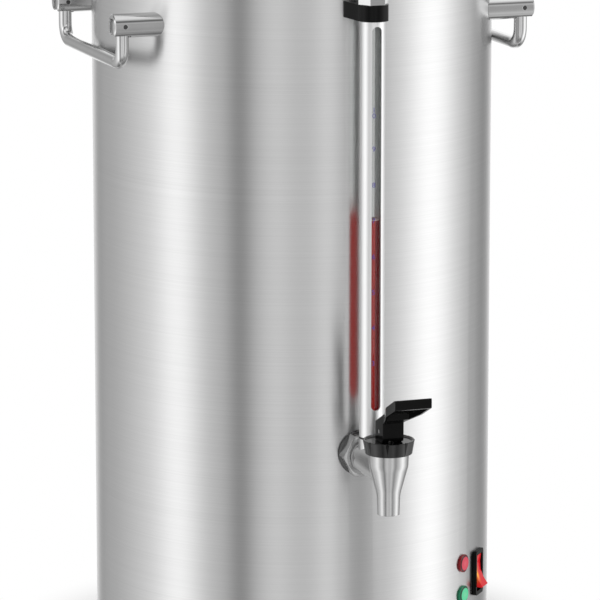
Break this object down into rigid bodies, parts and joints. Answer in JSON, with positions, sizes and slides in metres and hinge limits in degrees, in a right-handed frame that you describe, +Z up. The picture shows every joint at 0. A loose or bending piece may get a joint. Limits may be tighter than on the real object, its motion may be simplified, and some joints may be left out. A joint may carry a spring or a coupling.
{
  "type": "coffee urn",
  "caption": "Tall cylindrical coffee urn in brushed steel with a sight gauge, lever tap, bail handles, rocker switch, lamps, lid and inner percolator.",
  "frame": {"origin": "on the urn's vertical axis, at the level of the surface that its feet stand on", "axes": "+Z up along the urn's axis, -Y towards the tap and gauge, +X to the right seen from the tap"},
  "size_m": [0.288, 0.3768, 0.53],
  "materials": {
    "casing_steel": "fine horizontal brushing",
    "sheet_steel": "satin stainless sheet",
    "tap_steel": "brushed turned steel",
    "polished_steel": "polished stainless steel",
    "hidden_steel": "plain machined steel",
    "heater_metal": "cast and sheathed heater metal",
    "black_plastic": "glossy black moulding",
    "block_plastic": "off-white moulding",
    "black_rubber": "black rubber",
    "silicone": "translucent silicone",
    "gauge_glass": "clear glass with small blue figures",
    "coffee": "dark red coffee in the gauge",
    "red_lens": "lit red translucent plastic",
    "green_lens": "green translucent plastic"
  },
  "bodies": {
    "root": {"outer_casing": "casing_steel", "base_pan": "sheet_steel", "inner_tank": "sheet_steel", "tap_body": "tap_steel", "gauge_shield": "polished_steel", "gauge_tee": "polished_steel", "gauge_cap": "polished_steel", "outer_nut": "polished_steel", "outer_washer": "polished_steel", "left_front_lug": "polished_steel", "left_back_lug": "polished_steel", "right_front_lug": "polished_steel", "right_back_lug": "polished_steel", "bail_pins": "polished_steel", "shank_spacer": "hidden_steel", "inner_nut": "hidden_steel", "heater_nut": "hidden_steel", "foot_screws": "hidden_steel", "bracket_screw": "hidden_steel", "lamp_nuts": "hidden_steel", "tap_spring": "hidden_steel", "rocker_pin": "hidden_steel", "safety_cutout": "hidden_steel", "thermostat": "hidden_steel", "brew_heater": "heater_metal", "warming_heater": "heater_metal", "tap_bonnet": "black_plastic", "gauge_bracket": "black_plastic", "switch_housing": "black_plastic", "cord_gland": "black_plastic", "gland_nut": "black_plastic", "terminal_block": "block_plastic", "front_left_foot": "black_rubber", "back_left_foot": "black_rubber", "front_right_foot": "black_rubber", "back_right_foot": "black_rubber", "lower_gauge_seal": "black_rubber", "upper_gauge_seal": "black_rubber", "rim_seal": "silicone", "tank_seal": "silicone", "gauge_glass": "gauge_glass", "gauge_coffee": "coffee", "red_lamp": "red_lens", "green_lamp": "green_lens"},
    "left_handle": {"left_bail": "polished_steel"},
    "right_handle": {"right_bail": "polished_steel"},
    "stem": {"tap_stem": "hidden_steel", "seat_cup": "silicone", "lever_pin": "polished_steel"},
    "lever": {"tap_lever": "black_plastic"},
    "rocker": {"switch_rocker": "red_lens"},
    "percolator": {"riser_tube": "sheet_steel", "pump_foot": "sheet_steel", "coffee_basket": "sheet_steel", "basket_cover": "sheet_steel"},
    "valve": {"pump_valve": "sheet_steel"},
    "cover": {"lid": "sheet_steel", "lid_knob": "black_plastic", "knob_screw": "hidden_steel"}
  },
  "joints": [
    {"name": "left_bail_swing", "type": "hinge", "parent": "root", "child": "left_handle", "pos_m": [-0.1369, 0, 0.4324], "axis": [0, 1, 0], "range_deg": [0, 90]},
    {"name": "right_bail_swing", "type": "hinge", "parent": "root", "child": "right_handle", "pos_m": [0.1369, 0, 0.4324], "axis": [0, -1, 0], "range_deg": [0, 90]},
    {"name": "stem_lift", "type": "slide", "parent": "root", "child": "stem", "axis": [0, 0, 1], "range_m": [0, 0.0024], "deforming": ["tap_spring"]},
    {"name": "lever_tilt", "type": "hinge", "parent": "stem", "child": "lever", "pos_m": [0, -0.1836, 0.1838], "axis": [1, 0, 0], "range_deg": [0, 35], "stiffness_Nm_per_rad": 0.055, "springref_deg": -58.79},
    {"name": "rocker_swing", "type": "hinge", "parent": "root", "child": "rocker", "pos_m": [0.09932, -0.08543, 0.058], "axis": [0.6521, 0.7581, 0], "range_deg": [0, 27]},
    {"name": "percolator_lift", "type": "slide", "parent": "root", "child": "percolator", "axis": [0, 0, 1], "range_m": [0, 0.36]},
    {"name": "valve_lift", "type": "slide", "parent": "percolator", "child": "valve", "axis": [0, 0, 1], "range_m": [0, 0.003]},
    {"name": "lid_lift", "type": "slide", "parent": "percolator", "child": "cover", "axis": [0, 0, 1], "range_m": [0, 0.08]}
  ],
  "couplings": [
    {"joint": "stem_lift", "follows": "lever_tilt", "m_per_rad": 0.0039}
  ]
}
